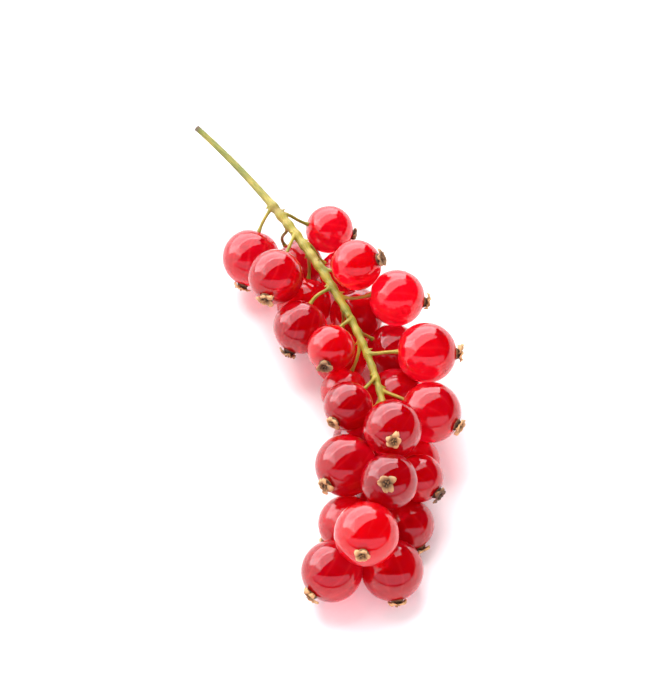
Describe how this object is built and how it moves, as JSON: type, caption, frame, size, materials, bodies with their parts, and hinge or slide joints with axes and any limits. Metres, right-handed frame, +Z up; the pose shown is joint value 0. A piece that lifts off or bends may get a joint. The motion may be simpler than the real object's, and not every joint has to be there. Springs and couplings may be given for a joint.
{
  "type": "sprig of redcurrants",
  "caption": "Picked redcurrant strig: a green stalk with thin pedicels, glossy translucent red berries and dry flower crowns, lying on its side.",
  "frame": {"origin": "on the resting surface, under the middle of the strig's bounding box", "axes": "+Z up from the resting surface; +Y roughly from the tip of the strig towards the cut end of its stalk"},
  "size_m": [0.044, 0.084, 0.0197],
  "materials": {
    "stem": "satin",
    "berries": "gloss",
    "crowns": "matte"
  },
  "bodies": {
    "root": {"stem": "stem", "berries": "berries"}
  },
  "joints": []
}
